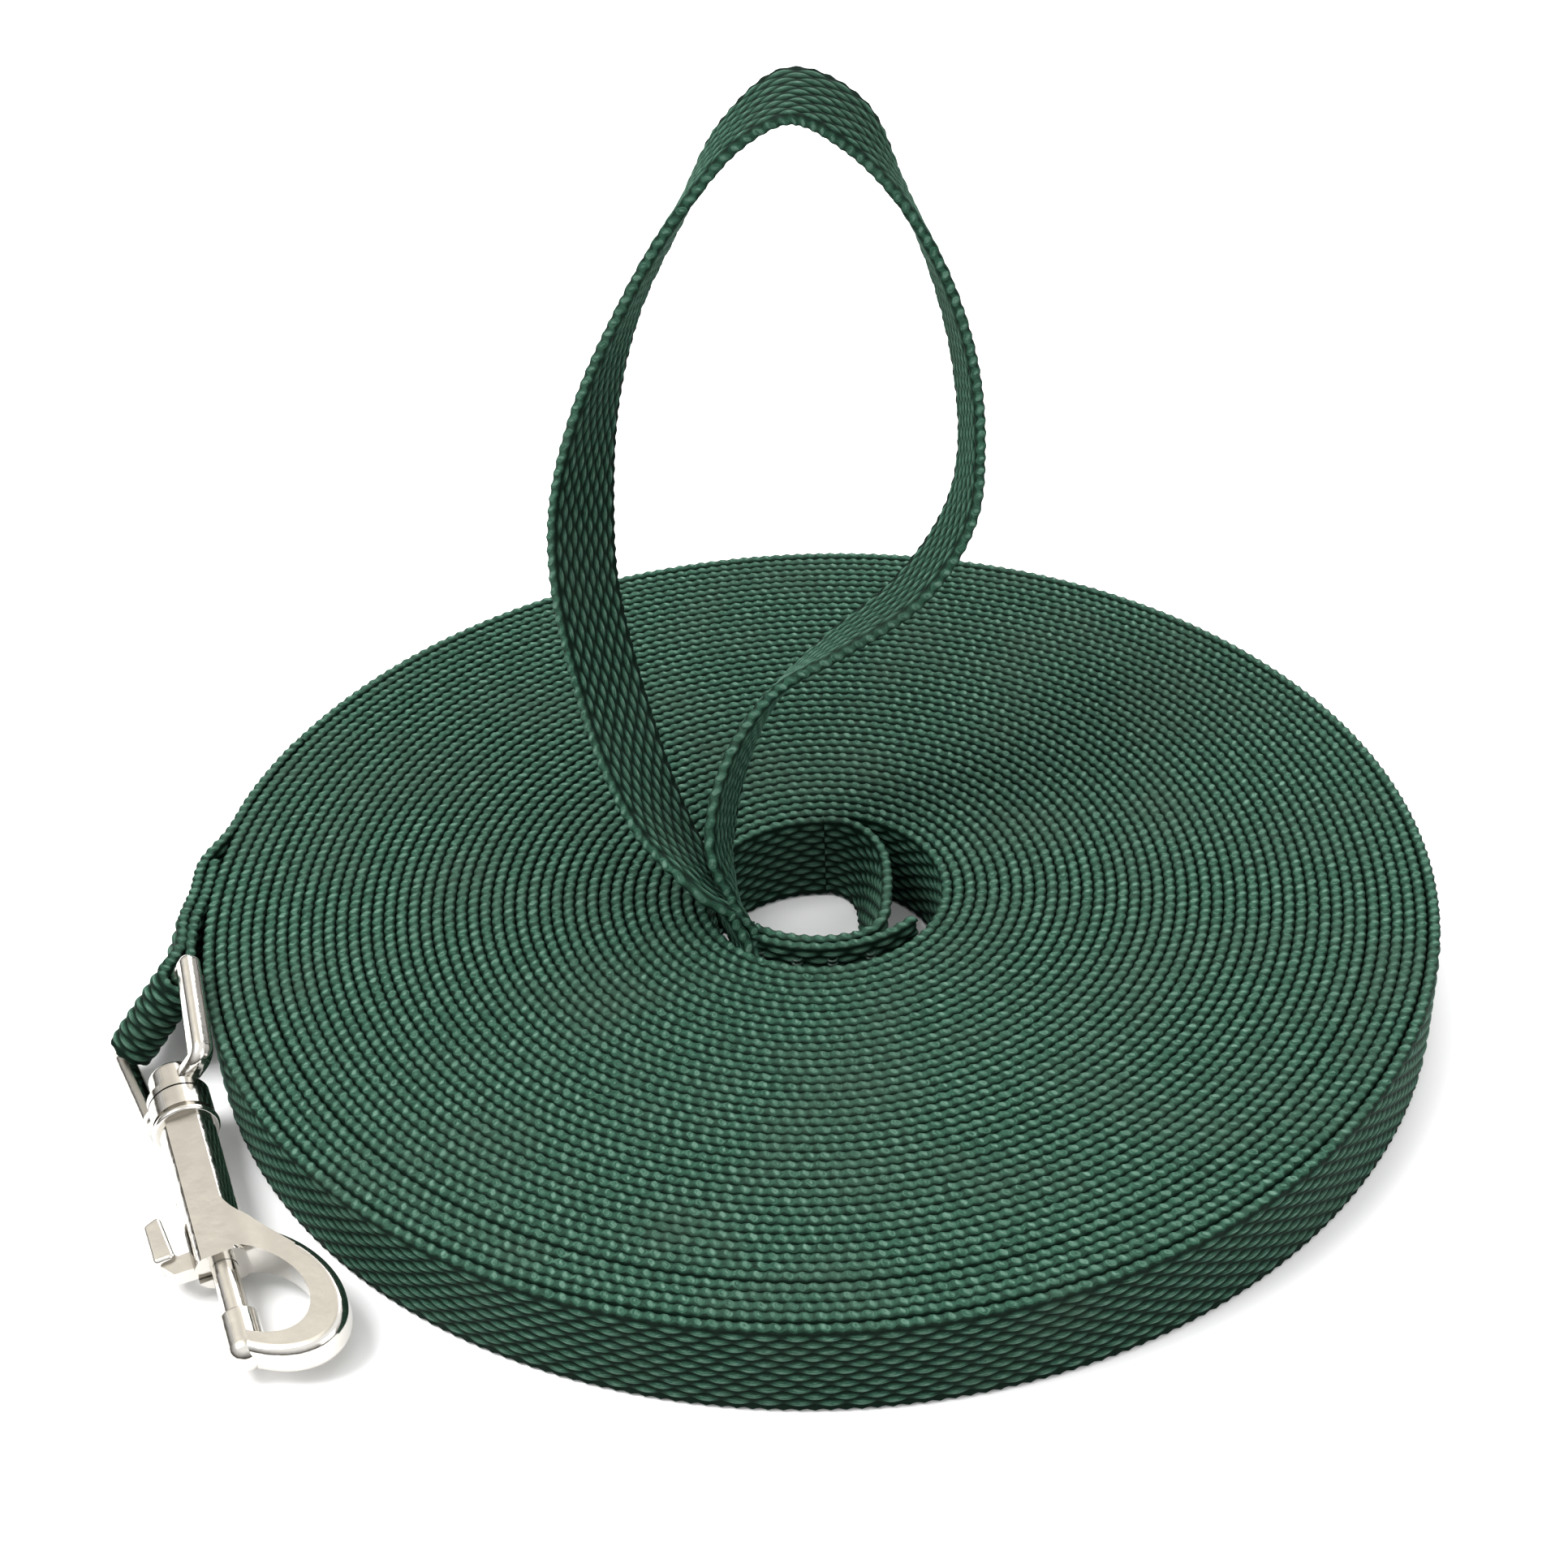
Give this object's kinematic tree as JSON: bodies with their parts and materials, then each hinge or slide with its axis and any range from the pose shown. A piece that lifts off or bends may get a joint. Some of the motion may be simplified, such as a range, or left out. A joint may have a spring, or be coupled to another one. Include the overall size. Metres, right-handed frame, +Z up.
{
  "type": "training leash",
  "caption": "Long webbing training leash wound into a flat coil, with a sewn hand loop at its middle and a swivel bolt snap at its outer end.",
  "frame": {"origin": "centre of the object's box, on the plane that the coil lies on", "axes": "+Z up, the coil's axis; +X to the right seen with the snap at the lower left, its hook towards -Y"},
  "size_m": [0.2014, 0.189, 0.122],
  "materials": {
    "webbing": "dark green woven webbing, matt with a slight sheen",
    "thread": "dark green sewing thread",
    "plated_casting": "nickel-plated die casting, polished sides and satin lapped flats",
    "spring_steel": "drawn spring wire"
  },
  "bodies": {
    "webbing": {"webbing_coil": "webbing", "webbing_lead": "webbing", "webbing_handle": "webbing", "webbing_snap_end": "webbing", "handle_stitching": "thread", "snap_stitching": "thread"},
    "eye": {"swivel_eye": "plated_casting"},
    "snap": {"snap_body": "plated_casting", "bolt_spring": "spring_steel"},
    "bolt": {"bolt": "plated_casting"}
  },
  "joints": [
    {"name": "eye_hinge", "type": "hinge", "parent": "webbing", "child": "eye", "pos_m": [-0.09278, -0.02347, 0.0107], "axis": [0.6056, 0.1343, 0.7844], "range_deg": [-120, 0]},
    {"name": "swivel", "type": "hinge", "parent": "eye", "child": "snap", "pos_m": [-0.08637, -0.04158, 0.00885], "axis": [0.3323, -0.9383, -0.0958], "continuous": true},
    {"name": "bolt_slide", "type": "slide", "parent": "snap", "child": "bolt", "axis": [-0.3323, 0.9383, 0.0958], "range_m": [0, 0.0092], "stiffness_N_per_m": 250, "springref_m": -0.006, "deforming": ["bolt_spring"]}
  ]
}
